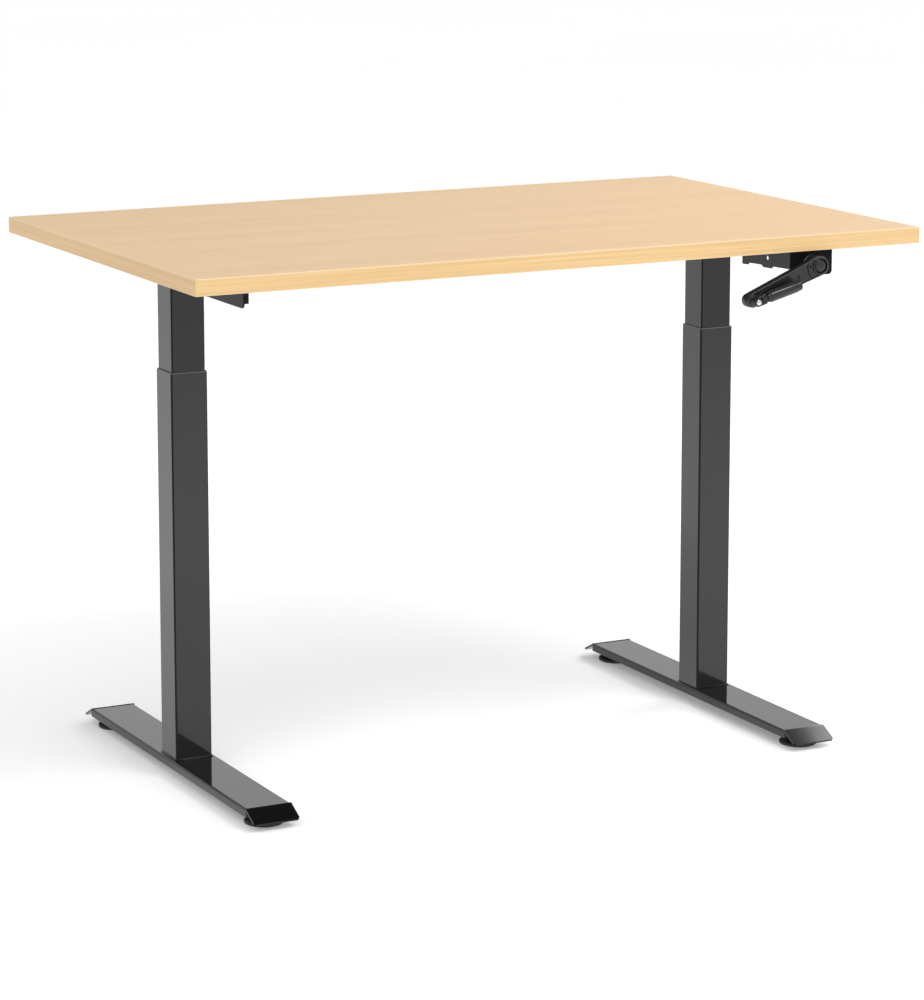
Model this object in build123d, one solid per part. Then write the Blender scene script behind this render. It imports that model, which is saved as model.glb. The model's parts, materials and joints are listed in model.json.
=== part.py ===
from build123d import *
import math
import os

# Crank-operated height adjustable standing desk.
# Units are millimetres, +Z is up and X runs along the desk's length, with the user at -Y.
# The geometry is worked out about the desktop's centre, and save() then moves each piece
# so that the origin is the bottom centre of the whole desk's bounding box.

# Desktop
TOP_LENGTH = 1220.0
TOP_DEPTH = 762.0
TOP_THICK = 25.0
TOP_Z = 837.0
BAND_THICK = 1.2
BAND_ROUND = 0.9

# Legs: two square telescopic columns, each on a long foot
LEG_X = 467.4
LEG_Y = 17.0
OUTER_SIDE = 60.0
OUTER_WALL = 1.5
INNER_SIDE = 55.0
INNER_WALL = 1.5
OUTER_RIM_Z = 636.0
INNER_END_Z = 175.0
HEAD_Z = 774.0
SLIDE_GAP = 0.3

# Feet
FOOT_TOP_Z = 28.6
FOOT_WIDTH = 74.0
FOOT_FLAT = 626.0
FOOT_SHEET = 3.0
FOOT_FLANGE = 12.4
FLAP_OUT = 31.0
FLAP_DOWN = 15.4
BASE_PLATE = 5.0

# Levellers
PAD_RADIUS = 30.0
PAD_TOP_Z = 11.7
PAD_Y = 295.0
STUD_RADIUS = 4.0
WELD_NUT_Z = 16.0
RUNNING_GAP = 0.05

# Lifting gear
STROKE_UP = 336.0
SCREW_RADIUS = 7.0
SCREW_END_Z = 200.0
JOURNAL_RADIUS = 6.0
JOURNAL_Z = 762.0
POST_RADIUS = 13.0
POST_BORE = 10.8
POST_TOP_Z = 560.0
NUT_TOP_Z = 592.0
BEARING_RADIUS = 16.0
BEARING_TOP_Z = 772.0

# Frame under the desktop
SHEET = 2.5
BRACKET_X = 497.0
BRACKET_HALF = 305.0
BRACKET_FLANGE = 25.5
BRACKET_RETURN = 9.0
PLATE_THICK = 3.0
RAIL_OFFSET = 60.0
RAIL_WIDTH = 24.0
RAIL_WALL = 1.8
RAIL_END_LENGTH = 190.0
RAIL_CENTRE_HALF = 390.0

# Drive line
SHAFT_Z = 790.6
HEX_FLATS = 8.0
GEAR_PITCH = 10.0
GEAR_TEETH = 16
GEAR_FACE = 4.5
HUB_RADIUS = 7.0
SLIM_HUB = 5.6
BUSH_WALL = 2.0
HOUSING_HALF = 27.0
HOUSING_CAVITY = 19.2
CRANK_BOX_X = 21.0
CRANK_BOX_Y = (LEG_Y - 27.0, LEG_Y + 15.0)
CRANK_CAVITY_X = 13.5

# Crank
CRANK_X = 417.0
PLATE_Y = -372.0
CRANK_PLATE = 2.0
CRANK_BRACKET_HALF = 38.0
CRANK_BRACKET_BACK = -233.0
CRANK_BRACKET_Z = 772.5
ARM_BACK_Y = -385.5
ARM_FRONT_Y = -400.0
ARM_HUB_RADIUS = 15.0
ARM_END_RADIUS = 10.5
ARM_REACH = 130.6
ARM_DROOP = 20.3
SLEEVE_RADIUS = 9.0
GRIP_TILT = 14.5
GRIP_RADIUS = 9.0
GRIP_Y = -410.5
GRIP_END = 82.5
FOLD_OFFSET = 14.0
EYE_RADIUS = 5.0
POST_FRONT_Y = -419.5
RIVET_FRONT_Y = -421.5

# Worked out from the sizes above
UNDER_Z = TOP_Z - TOP_THICK
FLANGE_Z = UNDER_Z - SHEET
FRONT_EDGE = -TOP_DEPTH / 2
ORIGIN_SHIFT = (-RIVET_FRONT_Y - TOP_DEPTH / 2) / 2
OUTER_BORE = OUTER_SIDE / 2 - OUTER_WALL
SADDLE_Z = HEAD_Z + PLATE_THICK
WEB_INSIDE = BRACKET_X - SHEET
GRIP_DIRECTION = (math.cos(math.radians(GRIP_TILT)), math.sin(math.radians(GRIP_TILT)))
ARM_END = (
    CRANK_X - ARM_REACH * math.cos(math.radians(ARM_DROOP)),
    SHAFT_Z - ARM_REACH * math.sin(math.radians(ARM_DROOP)),
)
SIDES = {"left": -1, "right": 1}
ENDS = {"front": -1, "back": 1}
FROM_BASE = (Align.CENTER, Align.CENTER, Align.MIN)


def block(x, y, z):
    """A box from its (low, high) limits along X, Y and Z."""
    size = Box(x[1] - x[0], y[1] - y[0], z[1] - z[0])
    return Pos((x[0] + x[1]) / 2, (y[0] + y[1]) / 2, (z[0] + z[1]) / 2) * size


def rod(start, end, radius):
    """A round bar between two points."""
    along = Vector(*end) - Vector(*start)
    return Plane(origin=start, z_dir=along) * Cylinder(radius, along.length, align=FROM_BASE)


def hex_rod(start, end, across_flats):
    """A six-sided bar between two points."""
    along = Vector(*end) - Vector(*start)
    section = RegularPolygon(across_flats / 2, 6, major_radius=False)
    return extrude(Plane(origin=start, z_dir=along) * section, amount=along.length)


def y_disc(centre, radius, back, front):
    """A round bar along Y, about a centre given as (x, z)."""
    return rod((centre[0], back, centre[1]), (centre[0], front, centre[1]), radius)


def square_prism(side, corner, low, high):
    """An upright square bar with rounded corners, centred on the Z axis."""
    return extrude(Plane.XY.offset(low) * RectangleRounded(side, side, corner), amount=high - low)


def save(name, *shapes):
    """Writes one node, moved to the desk's own origin."""
    solids = [Pos(0, ORIGIN_SHIFT, 0) * solid for shape in shapes for solid in shape.solids()]
    export_step(solids[0] if len(solids) == 1 else Compound(children=solids), f"parts/{name}.step")


def screw(head, tip, radius, head_radius, head_height):
    """A screw whose head stands behind the point head, on the side away from tip."""
    along = (Vector(*tip) - Vector(*head)).normalized()
    return rod(head, tip, radius) + rod(head, Vector(*head) - along * head_height, head_radius)


# Desktop ---------------------------------------------------------------------------------


def wood_screw_places():
    """(x, y, z of the head's seat) of each screw that holds the frame to the desktop."""
    bracket_x = BRACKET_X - 13.0
    places = [
        (side * bracket_x, LEG_Y + y, FLANGE_Z)
        for side in SIDES.values()
        for y in (-285.0, -165.0, 165.0, 285.0)
    ]
    flange_x = CRANK_BRACKET_HALF + 9.0
    places += [(CRANK_X + side * flange_x, y, UNDER_Z - 2.0) for side in (-1, 1) for y in (-350.0, -255.0)]
    places += [(CRANK_X, LEG_Y + y, UNDER_Z - PLATE_THICK) for y in (-33.0, 21.0)]
    return places


def desktop():
    """Laminated board inside its edge bands, with the screws' pilot holes underneath."""
    half_x, half_y = TOP_LENGTH / 2 - BAND_THICK, TOP_DEPTH / 2 - BAND_THICK
    board = block((-half_x, half_x), (-half_y, half_y), (UNDER_Z, TOP_Z))
    for x, y, _ in wood_screw_places():
        board -= rod((x, y, UNDER_Z), (x, y, UNDER_Z + 16.0), 2.2)
    return board


def long_band(side):
    """Edge band along the front (side -1) or the back (side 1)."""
    face = side * TOP_DEPTH / 2
    y = sorted((face, face - side * BAND_THICK))
    band = block((-TOP_LENGTH / 2, TOP_LENGTH / 2), y, (UNDER_Z, TOP_Z))
    return fillet(band.edges().filter_by(Axis.X).group_by(Axis.Y)[-1 if side > 0 else 0], BAND_ROUND)


def short_band(side):
    """Edge band on the left (side -1) or the right (side 1), between the long ones."""
    face = side * TOP_LENGTH / 2
    half_y = TOP_DEPTH / 2 - BAND_THICK
    band = block(sorted((face, face - side * BAND_THICK)), (-half_y, half_y), (UNDER_Z, TOP_Z))
    return fillet(band.edges().filter_by(Axis.Y).group_by(Axis.X)[-1 if side > 0 else 0], BAND_ROUND)


# Feet and fixed columns ------------------------------------------------------------------


def foot_bolt_places():
    """Offsets of the four bolts under each column."""
    return [(x, y) for x in (-19.0, 19.0) for y in (-19.0, 19.0)]


def foot_flap(end):
    """Sloping tongue at one end of a foot, with rounded lower corners."""
    length = math.hypot(FLAP_OUT, FLAP_DOWN)
    slope = Vector(0, end * FLAP_OUT, -FLAP_DOWN).normalized()
    outward = Vector(end, 0, 0).cross(slope)
    plane = Plane(origin=(0, LEG_Y + end * FOOT_FLAT / 2, FOOT_TOP_Z), x_dir=slope, z_dir=outward)
    plate = Pos(length / 2 - 1.0, 0, -FOOT_SHEET / 2) * Box(length + 2.0, FOOT_WIDTH, FOOT_SHEET)
    plate = fillet(plate.edges().filter_by(Axis.Z).group_by(Axis.X)[-1], 5.0)
    return plane * plate


def foot():
    """Pressed channel, open underneath, that carries a column; centred on X = 0."""
    half = FOOT_FLAT / 2
    outside = Pos(0, 0, FOOT_TOP_Z - FOOT_FLANGE / 2) * Box(FOOT_WIDTH, 2 * half, FOOT_FLANGE)
    outside = fillet(outside.edges().filter_by(Axis.Y).group_by(Axis.Z)[-1], 3.5)
    inside = Pos(0, 0, FOOT_TOP_Z - FOOT_SHEET - FOOT_FLANGE / 2)
    inside *= Box(FOOT_WIDTH - 2 * FOOT_SHEET, 2 * half, FOOT_FLANGE)
    channel = Pos(0, LEG_Y, 0) * (outside - inside)
    channel += [foot_flap(end) for end in ENDS.values()]
    for x, y in foot_bolt_places():
        channel -= rod((x, LEG_Y + y, FOOT_TOP_Z - 5), (x, LEG_Y + y, FOOT_TOP_Z + 1), STUD_RADIUS)
    return channel


def outer_column():
    """Fixed lower tube of a leg, centred on the Z axis."""
    top = OUTER_RIM_Z - 1.5
    tube = square_prism(OUTER_SIDE, 3.0, FOOT_TOP_Z, top)
    return tube - square_prism(2 * OUTER_BORE, 1.5, FOOT_TOP_Z, top)


def base_plate():
    """Threaded plate welded inside the foot of a column."""
    plate = square_prism(2 * OUTER_BORE, 1.5, FOOT_TOP_Z, FOOT_TOP_Z + BASE_PLATE)
    for x, y in foot_bolt_places():
        plate -= rod((x, y, FOOT_TOP_Z), (x, y, FOOT_TOP_Z + BASE_PLATE), STUD_RADIUS)
    return plate


def foot_bolts():
    """The four bolts that hold one foot on its column, put in from below."""
    under = FOOT_TOP_Z - FOOT_SHEET
    return [
        screw((x, y, under), (x, y, FOOT_TOP_Z + BASE_PLATE), STUD_RADIUS, 7.0, 4.4)
        for x, y in foot_bolt_places()
    ]


def guide_bush():
    """Plastic collar in the rim of the fixed tube, in which the moving tube slides."""
    low, lip = OUTER_RIM_Z - 30.0, OUTER_RIM_Z - 1.5
    collar = square_prism(2 * OUTER_BORE, 1.5, low, lip)
    collar += square_prism(OUTER_SIDE - 0.6, 2.7, lip, OUTER_RIM_Z)
    return collar - square_prism(INNER_SIDE + 2 * SLIDE_GAP, 2.8, low, OUTER_RIM_Z)


def nut_post():
    """Tube on the base plate that holds the lead nut up inside the leg."""
    low = FOOT_TOP_Z + BASE_PLATE
    return rod((0, 0, low), (0, 0, POST_TOP_Z), POST_RADIUS) - rod((0, 0, low), (0, 0, POST_TOP_Z), POST_BORE)


def lead_nut():
    """Nut plugged into the top of its post."""
    nut = rod((0, 0, POST_TOP_Z), (0, 0, NUT_TOP_Z), POST_RADIUS)
    nut = chamfer(nut.edges().group_by(Axis.Z)[-1], 1.5)
    nut += rod((0, 0, POST_TOP_Z - 12), (0, 0, POST_TOP_Z), POST_BORE)
    return nut - rod((0, 0, POST_TOP_Z - 12), (0, 0, NUT_TOP_Z), SCREW_RADIUS + RUNNING_GAP)


# Levellers -------------------------------------------------------------------------------


def weld_nut():
    """Nut under the foot's top sheet, in which a leveller's stud turns."""
    top = FOOT_TOP_Z - FOOT_SHEET
    nut = hex_rod((0, 0, WELD_NUT_Z), (0, 0, top), 15.0)
    return nut - rod((0, 0, WELD_NUT_Z), (0, 0, top), STUD_RADIUS + RUNNING_GAP)


def leveller_stud():
    """Threaded stud with a hexagon for the spanner, and a journal that the pad swivels on."""
    stud = rod((0, 0, PAD_TOP_Z), (0, 0, FOOT_TOP_Z - FOOT_SHEET - 0.4), STUD_RADIUS)
    stud = chamfer(stud.edges().group_by(Axis.Z)[-1], 0.8)
    stud += hex_rod((0, 0, PAD_TOP_Z + 0.3), (0, 0, WELD_NUT_Z - 0.3), 13.0)
    return stud + rod((0, 0, 4.3), (0, 0, PAD_TOP_Z + 0.3), STUD_RADIUS - 0.5)


def leveller_pad():
    """Round foot pad with a domed top and a socket for the stud."""
    outline = Polyline(
        (0, 0), (PAD_RADIUS - 1.2, 0), (PAD_RADIUS, 1.2), (PAD_RADIUS, 4.0),
        (PAD_RADIUS - 2.0, 5.6), (13.0, 8.6), (11.0, PAD_TOP_Z), (0, PAD_TOP_Z), close=True,
    )
    pad = revolve(Plane.XZ * make_face(outline), Axis.Z)
    return pad - rod((0, 0, 4.0), (0, 0, PAD_TOP_Z + 1), STUD_RADIUS - 0.5 + RUNNING_GAP)


# Moving columns and their heads ----------------------------------------------------------


def inner_column():
    """Moving tube of a leg."""
    tube = square_prism(INNER_SIDE, 2.5, INNER_END_Z, HEAD_Z)
    return tube - square_prism(INNER_SIDE - 2 * INNER_WALL, 1.0, INNER_END_Z, HEAD_Z)


def guide_shoe():
    """Plastic shoe round the lower end of the moving tube."""
    low, high = INNER_END_Z - 5.0, INNER_END_Z + 30.0
    shoe = square_prism(2 * (OUTER_BORE - SLIDE_GAP), 1.5, low, high)
    shoe -= square_prism(INNER_SIDE, 2.5, INNER_END_Z, high)
    return shoe - rod((0, 0, low), (0, 0, high), 16.0)


def head_plate(side):
    """Saddle welded on a moving tube, on which the rails and the gear housing sit."""
    x = sorted((side * (LEG_X - HOUSING_HALF), side * WEB_INSIDE))
    plate = block(x, (LEG_Y - 80, LEG_Y + 80), (HEAD_Z, SADDLE_Z))
    hole = square_prism(INNER_SIDE - 2 * INNER_WALL, 1.0, HEAD_Z, SADDLE_Z)
    plate -= Pos(side * LEG_X, LEG_Y, 0) * hole
    return plate


def side_bracket(side):
    """Folded bracket that runs front to back under the desktop, with its end tabs."""
    y = (LEG_Y - BRACKET_HALF, LEG_Y + BRACKET_HALF)
    web = block((WEB_INSIDE, BRACKET_X), y, (HEAD_Z, UNDER_Z))
    web = fillet(web.edges().filter_by(Axis.X).group_by(Axis.Z)[0], 7.0)
    flange = block((BRACKET_X - BRACKET_FLANGE, BRACKET_X), y, (FLANGE_Z, UNDER_Z))
    bracket = web + flange
    for end in y:
        tab = (end, end + SHEET) if end < 0 else (end - SHEET, end)
        bracket += block((BRACKET_X - BRACKET_RETURN, BRACKET_X), tab, (HEAD_Z + 7.0, UNDER_Z))
    bracket = bracket if side > 0 else mirror(bracket, Plane.YZ)
    for x, hole_y, z in wood_screw_places():
        bracket -= rod((x, hole_y, z - 1), (x, hole_y, z + 5), 2.2)
    return bracket


def rail_tube(x, y, width, low, high, wall):
    """Rectangular tube along X."""
    inside = (y - width / 2 + wall, y + width / 2 - wall)
    tube = block(x, (y - width / 2, y + width / 2), (low, high))
    tube = fillet(tube.edges().filter_by(Axis.X), 2.0)
    return tube - block((x[0] - 1, x[1] + 1), inside, (low + wall, high - wall))


def rail_end(side, end):
    """Outer piece of a telescopic rail, welded between the head plate and the bracket."""
    y = LEG_Y + end * RAIL_OFFSET
    x = sorted((side * WEB_INSIDE, side * (WEB_INSIDE - RAIL_END_LENGTH)))
    tube = rail_tube(x, y, RAIL_WIDTH, SADDLE_Z, FLANGE_Z, RAIL_WALL)
    if side > 0 and end < 0:
        tube -= y_disc((CRANK_X, SHAFT_Z), 10.0, y + RAIL_WIDTH, y - RAIL_WIDTH)
    for place in rail_screw_places():
        tube -= rod(place, (place[0], place[1], SADDLE_Z + RAIL_WALL), 3.0)
    return tube


def rail_centre(end):
    """Inner piece of a telescopic rail, slid into both ends."""
    gap = RAIL_WALL + 0.2
    x = (-RAIL_CENTRE_HALF, RAIL_CENTRE_HALF)
    width = RAIL_WIDTH - 2 * gap
    tube = rail_tube(x, LEG_Y + end * RAIL_OFFSET, width, SADDLE_Z + gap, FLANGE_Z - gap, 1.5)
    for place in rail_screw_places():
        tube -= rod(place, (place[0], place[1], SADDLE_Z + 8.0), 3.0)
    return tube


def rail_screw_places():
    """Where the screws under the rails' overlaps sit."""
    return [
        (side * x, LEG_Y + end * RAIL_OFFSET, SADDLE_Z)
        for side in SIDES.values()
        for end in ENDS.values()
        for x in (325.0, 370.0)
    ]


def rail_screws():
    """The screws that lock the rails at their length."""
    return [screw(p, (p[0], p[1], p[2] + 7.0), 3.0, 5.5, 3.2) for p in rail_screw_places()]


# Gears -----------------------------------------------------------------------------------


def bevel_gear(apex, away, mate, phase, hubs):
    """A mitre gear with its pitch cone's tip at apex.

    away points from the tip to the gear, and mate from the tip to the gear it drives.
    hubs are (from, to, radius), measured along away from the tip.
    """
    module = 2 * GEAR_PITCH / GEAR_TEETH
    shrink = 1 - GEAR_FACE / (GEAR_PITCH * math.sqrt(2))
    addendum, dedendum, half = 0.8 * module, 1.1 * module, 0.65 * module
    slant = math.tan(math.radians(20))
    diagonal = math.sqrt(0.5)
    root = (GEAR_PITCH - dedendum * diagonal, GEAR_PITCH + dedendum * diagonal)
    blank = Pos(0, 0, -root[1])
    blank *= Cone(root[0], root[0] * shrink, root[1] * (1 - shrink), align=FROM_BASE)

    def section(scale):
        """Outline of a tooth where it is scale times its size at the back."""
        corners = []
        for height, sign in ((-dedendum - 0.3, -1), (addendum, -1), (addendum, 1), (-dedendum - 0.3, 1)):
            across = sign * (half - height * slant)
            reach = GEAR_PITCH + height * diagonal
            corners.append(Vector(reach, across, height * diagonal - GEAR_PITCH) * scale)
        return make_face(Polyline(*corners, close=True))

    tooth = loft([section(1), section(shrink)], ruled=True)
    step = 360 / GEAR_TEETH
    gear = blank.fuse(*[Rot(0, 0, (i + phase) * step) * tooth for i in range(GEAR_TEETH)])
    for start, stop, radius in hubs:
        gear += rod((0, 0, -stop), (0, 0, -start), radius)
    toward = Vector(*away) * -1
    return Plane(origin=apex, x_dir=mate, z_dir=toward) * gear


def shaft_gear(x, reach):
    """Bevel gear on the cross shaft, with its long hub; it faces away from +X."""
    hubs = [(10.5, reach, HUB_RADIUS), (-reach, 10.5, SLIM_HUB)]
    mate = (0, -1, 0) if x == CRANK_X else (0, 0, -1)
    gear = bevel_gear((x, LEG_Y, SHAFT_Z), (-1, 0, 0), mate, 0.5, hubs)
    return gear - hex_rod((x - 40, LEG_Y, SHAFT_Z), (x + 40, LEG_Y, SHAFT_Z), HEX_FLATS)


def screw_gear(side):
    """Bevel gear on the top of a lead screw."""
    hubs = [(10.9, SHAFT_Z - BEARING_TOP_Z - 0.5, 8.8)]
    gear = bevel_gear((side * LEG_X, LEG_Y, SHAFT_Z), (0, 0, -1), (-1, 0, 0), 0, hubs)
    return gear - rod((side * LEG_X, LEG_Y, JOURNAL_Z), (side * LEG_X, LEG_Y, SHAFT_Z), JOURNAL_RADIUS)


def crank_gear():
    """Bevel gear on the inner end of the crank's shaft."""
    hubs = [(10.5, 27.0, HUB_RADIUS)]
    gear = bevel_gear((CRANK_X, LEG_Y, SHAFT_Z), (0, -1, 0), (-1, 0, 0), 0, hubs)
    return gear - hex_rod((CRANK_X, LEG_Y, SHAFT_Z), (CRANK_X, LEG_Y - 40, SHAFT_Z), HEX_FLATS)


def cross_shaft():
    """Hexagonal shaft that joins the two legs' gears."""
    reach = LEG_X + HOUSING_HALF - 0.5
    return hex_rod((-reach, LEG_Y, SHAFT_Z), (reach, LEG_Y, SHAFT_Z), HEX_FLATS)


def lead_screw():
    """Lead screw, plain where its thread would be, with a journal for the bearing."""
    thread = rod((0, 0, SCREW_END_Z), (0, 0, JOURNAL_Z), SCREW_RADIUS)
    thread = chamfer(thread.edges().group_by(Axis.Z)[0], 1.5)
    small_end = GEAR_PITCH - GEAR_FACE / math.sqrt(2) + 0.7
    return thread + rod((0, 0, JOURNAL_Z), (0, 0, SHAFT_Z - small_end), JOURNAL_RADIUS)


def thrust_bearing():
    """Bearing that carries a head on its screw, with recessed shields."""
    low = JOURNAL_Z
    ring = rod((0, 0, low), (0, 0, BEARING_TOP_Z), BEARING_RADIUS)
    ring -= rod((0, 0, low), (0, 0, BEARING_TOP_Z), JOURNAL_RADIUS + RUNNING_GAP)
    for face in (low, BEARING_TOP_Z - 0.6):
        shield = rod((0, 0, face), (0, 0, face + 0.6), BEARING_RADIUS - 3)
        ring -= shield - rod((0, 0, face), (0, 0, face + 0.6), JOURNAL_RADIUS + 2.5)
    return ring


# Gear housings ---------------------------------------------------------------------------


def shaft_bush_holes(x, reach):
    """The holes that the cross shaft's bushes fill, at each side of a housing."""
    wide = rod((x - reach, LEG_Y, SHAFT_Z), (x, LEG_Y, SHAFT_Z), HUB_RADIUS + BUSH_WALL)
    slim = rod((x, LEG_Y, SHAFT_Z), (x + reach, LEG_Y, SHAFT_Z), SLIM_HUB + BUSH_WALL)
    return [wide, slim]


def shaft_bushes(x, wall, reach):
    """The two bushes in a housing's side walls."""
    bushes = []
    for side, radius in ((-1, HUB_RADIUS), (1, SLIM_HUB)):
        ends = (x + side * wall, LEG_Y, SHAFT_Z), (x + side * reach, LEG_Y, SHAFT_Z)
        bushes.append(rod(*ends, radius + BUSH_WALL) - rod(*ends, radius + RUNNING_GAP))
    return bushes


def gearbox_bolt_places(side):
    """Where the bolts go down through a leg's gear housing."""
    return [(side * LEG_X + x, LEG_Y + y) for x in (-22.6, 22.6) for y in (-21.0, 21.0)]


def gearbox_bolts(side):
    """The bolts that clamp a gear housing to its head plate."""
    seat = FLANGE_Z - 3.0
    return [screw((x, y, seat), (x, y, SADDLE_Z + 1.0), 2.5, 4.2, 3.0) for x, y in gearbox_bolt_places(side)]


def bolt_holes(side):
    """The room that a gear housing leaves for its bolts."""
    return gearbox_bolts(side)[0].fuse(*gearbox_bolts(side)[1:])


def gear_housing(side):
    """Lower half of a leg's gear housing, with the spigot that plugs into the moving tube."""
    x = side * LEG_X
    outer = (x - HOUSING_HALF, x + HOUSING_HALF)
    y = (LEG_Y - HOUSING_HALF, LEG_Y + HOUSING_HALF)
    body = block(outer, y, (SADDLE_Z, SHAFT_Z))
    body = fillet(body.edges().filter_by(Axis.Z), 2.5)
    spigot = square_prism(INNER_SIDE - 2 * INNER_WALL - 0.6, 1.5, HEAD_Z - 24, SADDLE_Z)
    body += Pos(x, LEG_Y, 0) * spigot
    cavity = (x - HOUSING_CAVITY, x + HOUSING_CAVITY), (LEG_Y - 23.0, LEG_Y + 23.0)
    body -= block(*cavity, (SHAFT_Z - 11.6, SHAFT_Z))
    body -= rod((x, LEG_Y, BEARING_TOP_Z), (x, LEG_Y, SHAFT_Z), 12.0)
    body -= rod((x, LEG_Y, HEAD_Z - 24), (x, LEG_Y, BEARING_TOP_Z), BEARING_RADIUS)
    for hole in shaft_bush_holes(x, HOUSING_HALF):
        body -= hole
    return body - bolt_holes(side)


def gear_cover(side):
    """Upper half of a leg's gear housing."""
    x = side * LEG_X
    y = (LEG_Y - HOUSING_HALF, LEG_Y + HOUSING_HALF)
    body = block((x - HOUSING_HALF, x + HOUSING_HALF), y, (SHAFT_Z, FLANGE_Z))
    body = fillet(body.edges().filter_by(Axis.Z), 2.5)
    cavity = (x - HOUSING_CAVITY, x + HOUSING_CAVITY), (LEG_Y - 23.0, LEG_Y + 23.0)
    body -= block(*cavity, (SHAFT_Z, FLANGE_Z - 3.0))
    for hole in shaft_bush_holes(x, HOUSING_HALF):
        body -= hole
    return body - bolt_holes(side)


def crank_box_cavity(low, high):
    """The room for the pair of gears where the crank's shaft meets the cross shaft."""
    x = (CRANK_X - CRANK_CAVITY_X, CRANK_X + CRANK_CAVITY_X)
    cavity = block(x, (LEG_Y - 16.0, LEG_Y + 12.0), (low, high))
    crank_hole = y_disc((CRANK_X, SHAFT_Z), HUB_RADIUS + BUSH_WALL, LEG_Y, CRANK_BOX_Y[0])
    return [cavity, crank_hole, *shaft_bush_holes(CRANK_X, CRANK_BOX_X)]


def crank_gearbox():
    """Lower half of the housing where the crank's shaft meets the cross shaft."""
    x = (CRANK_X - CRANK_BOX_X, CRANK_X + CRANK_BOX_X)
    body = block(x, CRANK_BOX_Y, (SHAFT_Z - 14.0, SHAFT_Z))
    body = fillet(body.edges().filter_by(Axis.Z), 2.5)
    for hole in crank_box_cavity(SHAFT_Z - 11.6, SHAFT_Z):
        body -= hole
    return body


def crank_gearbox_cover():
    """Upper half of that housing, with ears for the screws into the desktop."""
    x = (CRANK_X - CRANK_BOX_X, CRANK_X + CRANK_BOX_X)
    body = block(x, CRANK_BOX_Y, (SHAFT_Z, UNDER_Z))
    body = fillet(body.edges().filter_by(Axis.Z), 2.5)
    for hole in crank_box_cavity(SHAFT_Z, UNDER_Z - PLATE_THICK - 2.0):
        body -= hole
    ears = block((CRANK_X - 9, CRANK_X + 9), (LEG_Y - 40, LEG_Y + 28), (UNDER_Z - PLATE_THICK, UNDER_Z))
    body += fillet(ears.edges().filter_by(Axis.Z), 5.0)
    for place in wood_screw_places()[-2:]:
        body -= rod(place, (place[0], place[1], UNDER_Z), 2.2)
    return body


def crank_shaft_bush():
    """The bush for the crank's gear, in the front wall of the crank gearbox."""
    centre = (CRANK_X, SHAFT_Z)
    back, front = LEG_Y - 16.5, CRANK_BOX_Y[0]
    ring = y_disc(centre, HUB_RADIUS + BUSH_WALL, back, front)
    return ring - y_disc(centre, HUB_RADIUS + RUNNING_GAP, back, front)


# Crank -----------------------------------------------------------------------------------


def side_plate_outline():
    """Side plate of the crank's bracket, as (y, z): a sloping lower edge with two tabs."""
    return [
        (PLATE_Y, UNDER_Z), (PLATE_Y, 784.3), (-322.0, 782.2), (-318.0, 778.8), (-295.0, 778.0),
        (-289.0, 781.2), (-252.0, 779.4), (-249.0, 776.2), (CRANK_BRACKET_BACK, 775.8),
        (CRANK_BRACKET_BACK, UNDER_Z),
    ]


def crank_bracket():
    """Folded bracket that holds the crank's bush under the front edge of the desktop."""
    low, high = CRANK_X - CRANK_BRACKET_HALF, CRANK_X + CRANK_BRACKET_HALF
    front = block((low, high), (PLATE_Y, PLATE_Y + CRANK_PLATE), (CRANK_BRACKET_Z, UNDER_Z))
    front = fillet(front.edges().filter_by(Axis.Y).group_by(Axis.Z)[0], 6.0)
    face = Plane.YZ * make_face(Polyline(*side_plate_outline(), close=True))
    plate = extrude(face, amount=CRANK_PLATE)
    bracket = front + Pos(low, 0, 0) * plate + Pos(high - CRANK_PLATE, 0, 0) * plate
    flange_y, flange_z = (PLATE_Y + 4, CRANK_BRACKET_BACK), (UNDER_Z - 2.0, UNDER_Z)
    bracket += block((low - 15, low + 1), flange_y, flange_z)
    bracket += block((high - 1, high + 15), flange_y, flange_z)
    bracket -= rod((low - 5, -306.0, 794.0), (high + 5, -306.0, 794.0), 4.0)
    bracket -= y_disc((CRANK_X, SHAFT_Z), 12.0, PLATE_Y + 10, PLATE_Y - 10)
    for x, y, z in wood_screw_places()[-6:-2]:
        bracket -= rod((x, y, z), (x, y, UNDER_Z), 2.2)
    return bracket


def crank_bush():
    """Flanged bush in the bracket's front plate."""
    centre = (CRANK_X, SHAFT_Z)
    bush = y_disc(centre, 12.0, PLATE_Y + 7.0, PLATE_Y)
    bush += y_disc(centre, 14.5, PLATE_Y, PLATE_Y - 3.0)
    return bush - y_disc(centre, SLEEVE_RADIUS + RUNNING_GAP, PLATE_Y + 7.0, PLATE_Y - 3.0)


def crank_shaft():
    """Hexagonal shaft from the crank to its gear."""
    inner = LEG_Y - GEAR_PITCH + GEAR_FACE / math.sqrt(2) - 0.8
    return hex_rod((CRANK_X, inner, SHAFT_Z), (CRANK_X, ARM_FRONT_Y + 8.0, SHAFT_Z), HEX_FLATS)


def tapered_bar(start, start_radius, end, end_radius, back, front):
    """A bar along XZ with round ends of two sizes and straight sides that touch them."""
    along = Vector(end[0] - start[0], end[1] - start[1])
    rise = (start_radius - end_radius) / along.length
    run = math.sqrt(1 - rise**2)
    u = along.normalized()
    across = Vector(-u.Y, u.X)
    corners = []
    for centre, radius, signs in ((start, start_radius, (-1, 1)), (end, end_radius, (1, -1))):
        for sign in signs:
            corners.append(Vector(*centre) + (u * rise + across * (sign * run)) * radius)
    sides = make_face(Polyline(*corners, close=True))
    bar = extrude(Plane.XZ.offset(-back) * sides, amount=back - front)
    return bar + y_disc(start, start_radius, back, front) + y_disc(end, end_radius, back, front)


def along_arm(distance):
    """The point (x, z) on the arm's middle line, this far from the hub's centre."""
    droop = math.radians(ARM_DROOP)
    return (CRANK_X - distance * math.cos(droop), SHAFT_Z - distance * math.sin(droop))


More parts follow.
